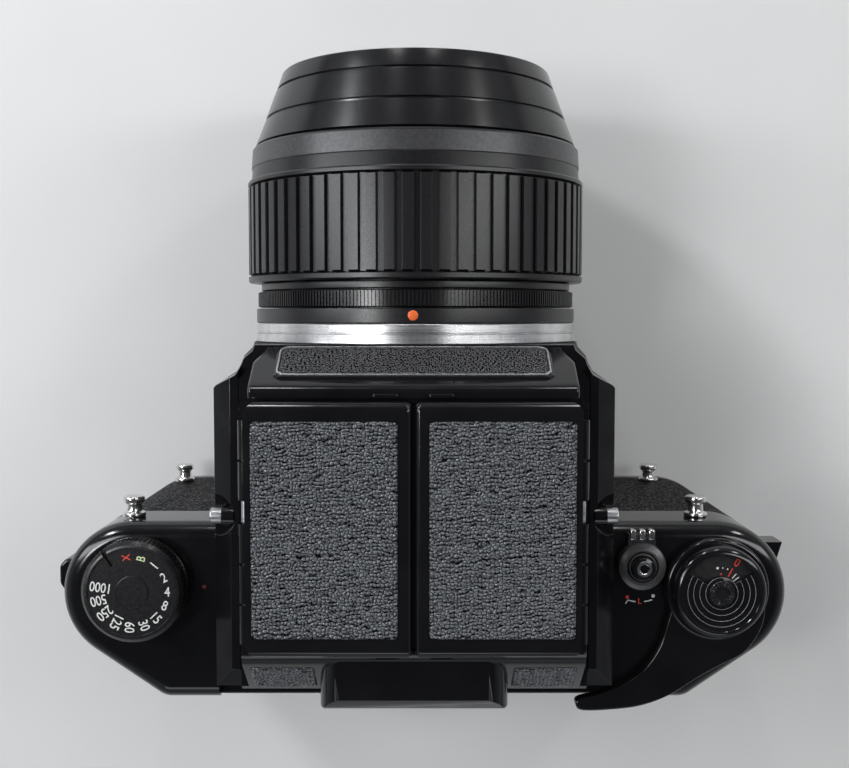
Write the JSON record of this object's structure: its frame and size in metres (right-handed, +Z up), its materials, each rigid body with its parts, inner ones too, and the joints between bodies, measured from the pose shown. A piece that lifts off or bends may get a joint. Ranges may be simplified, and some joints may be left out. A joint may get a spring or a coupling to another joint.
{
  "type": "medium format single-lens reflex camera",
  "caption": "Wide medium format reflex camera with a folding waist-level hood, winding lever, shutter dial, opening film back and a focusing lens.",
  "frame": {"origin": "centre of the tripod socket mouth on the base", "axes": "+Z up, lens points to -Y, +X toward the shutter dial end"},
  "size_m": [0.19, 0.1641, 0.11],
  "materials": {
    "alloy": "matt black aluminium casting",
    "enamel": "gloss black enamel on aluminium",
    "leather": "pebbled black leatherette",
    "silver": "satin metal",
    "chrome": "polished metal",
    "brass": "machined brass",
    "glass": "coated glass",
    "screen": "ground glass",
    "mirror": "front-silvered mirror",
    "plastic": "black plastic",
    "cloth": "rubberised black cloth",
    "steel": "steel",
    "barrel": "satin black anodised metal"
  },
  "bodies": {
    "camera": {"body_casting": "alloy", "top_cover_left": "enamel", "top_cover_right": "enamel", "base_cover": "enamel", "finder_seat": "enamel", "leather_left": "leather", "leather_right": "leather", "mount_ring": "silver", "mount_screws": "steel", "strap_lugs": "chrome", "tripod_bush": "brass", "sync_block": "enamel", "corner_plate": "enamel", "battery_cover": "silver", "focusing_screen": "screen", "shutter_curtains": "cloth", "shutter_rollers": "steel", "mirror_pin": "steel", "door_pin": "steel", "counter_post": "steel", "counter_cover": "enamel", "counter_screw": "steel", "hood_base": "enamel", "nameplate": "enamel", "hood_pins": "steel", "hood_rear_cover": "enamel", "hood_walls": "enamel", "magnifier_frame": "enamel", "magnifier_lens": "glass", "lens_barrel": "barrel"},
    "mirror": {"mirror_glass": "mirror", "mirror_holder": "alloy"},
    "door": {"back_door": "enamel", "pressure_plate": "steel", "plate_springs": "steel", "leather_back": "leather"},
    "latch": {"door_latch": "silver"},
    "supply_key": {"spool_key_left": "silver"},
    "takeup_key": {"spool_key_right": "silver"},
    "takeup": {"takeup_spool": "plastic", "takeup_drive": "brass"},
    "lever": {"advance_lever": "enamel", "wind_gear": "brass"},
    "counter": {"counter_disc": "plastic"},
    "release": {"release_button": "chrome"},
    "collar": {"lock_collar": "enamel"},
    "dial": {"shutter_dial": "enamel"},
    "finder_lock_l": {"finder_lock_left": "chrome"},
    "finder_lock_r": {"finder_lock_right": "chrome"},
    "flap_l": {"flap_left": "enamel", "flap_leather_left": "leather"},
    "flap_r": {"flap_right": "enamel", "flap_leather_right": "leather"},
    "aperture": {"aperture_ring": "barrel"},
    "focus": {"focus_ring": "barrel"},
    "front_group": {"front_barrel": "barrel", "front_trim": "barrel", "lens_glass": "glass", "iris_blades": "alloy"},
    "lens_lock": {"lens_release": "chrome"}
  },
  "joints": [
    {"name": "lever_swing", "type": "hinge", "parent": "camera", "child": "lever", "pos_m": [-0.0751, 0.0159, 0.086], "axis": [0, 0, 1], "range_deg": [0, 155], "stiffness_Nm_per_rad": 0.004},
    {"name": "counter_turn", "type": "hinge", "parent": "camera", "child": "counter", "pos_m": [-0.0751, 0.0159, 0.089], "axis": [0, 0, 1], "range_deg": [0, 16]},
    {"name": "takeup_turn", "type": "hinge", "parent": "camera", "child": "takeup", "pos_m": [-0.06506, 0.017, 0.047], "axis": [0, 0, 1], "range_deg": [-235, 0]},
    {"name": "collar_turn", "type": "hinge", "parent": "camera", "child": "collar", "pos_m": [-0.0565, 0.0103, 0.086], "axis": [0, 0, -1], "range_deg": [0, 45]},
    {"name": "release_press", "type": "slide", "parent": "camera", "child": "release", "axis": [0, 0, -1], "range_m": [0, 0.002], "stiffness_N_per_m": 1200},
    {"name": "dial_turn", "type": "hinge", "parent": "camera", "child": "dial", "pos_m": [0.0691, 0.0157, 0.088], "axis": [0, 0, 1], "range_deg": [-96, 192]},
    {"name": "finder_lock_l_press", "type": "slide", "parent": "camera", "child": "finder_lock_l", "axis": [-1, 0, 0], "range_m": [0, 0.0012], "stiffness_N_per_m": 1500},
    {"name": "finder_lock_r_press", "type": "slide", "parent": "camera", "child": "finder_lock_r", "axis": [1, 0, 0], "range_m": [0, 0.0012], "stiffness_N_per_m": 1500},
    {"name": "flap_l_open", "type": "hinge", "parent": "camera", "child": "flap_l", "pos_m": [0.0389, 0, 0.106], "axis": [0, 1, 0], "range_deg": [0, 95]},
    {"name": "flap_r_open", "type": "hinge", "parent": "camera", "child": "flap_r", "pos_m": [-0.0389, 0, 0.106], "axis": [0, -1, 0], "range_deg": [0, 95]},
    {"name": "door_open", "type": "hinge", "parent": "camera", "child": "door", "pos_m": [-0.08199, 0.0361, 0.036], "axis": [0, 0, 1], "range_deg": [0, 110]},
    {"name": "latch_slide", "type": "slide", "parent": "camera", "child": "latch", "axis": [0, 0, -1], "range_m": [0, 0.006], "stiffness_N_per_m": 400},
    {"name": "supply_key_pull", "type": "slide", "parent": "camera", "child": "supply_key", "axis": [0, 0, -1], "range_m": [0, 0.009]},
    {"name": "takeup_key_pull", "type": "slide", "parent": "camera", "child": "takeup_key", "axis": [0, 0, -1], "range_m": [0, 0.009]},
    {"name": "mirror_swing", "type": "hinge", "parent": "camera", "child": "mirror", "pos_m": [0, 0.02911, 0.077], "axis": [-1, 0, 0], "range_deg": [0, 43], "stiffness_Nm_per_rad": 0.05},
    {"name": "aperture_turn", "type": "hinge", "parent": "camera", "child": "aperture", "pos_m": [0, -0.056, 0.047], "axis": [0, 1, 0], "range_deg": [-30, 30]},
    {"name": "focus_turn", "type": "hinge", "parent": "camera", "child": "focus", "pos_m": [0, -0.075, 0.047], "axis": [0, 1, 0], "range_deg": [0, 180]},
    {"name": "focus_slide", "type": "slide", "parent": "camera", "child": "front_group", "axis": [0, -1, 0], "range_m": [0, 0.01]},
    {"name": "lens_lock_press", "type": "slide", "parent": "camera", "child": "lens_lock", "axis": [-1, 0, 0], "range_m": [0, 0.0018], "stiffness_N_per_m": 1500}
  ],
  "couplings": [
    {"joint": "counter_turn", "follows": "lever_swing", "ratio": 0.1},
    {"joint": "takeup_turn", "follows": "lever_swing", "ratio": -1.5},
    {"joint": "focus_slide", "follows": "focus_turn", "m_per_rad": 0.0031831}
  ]
}
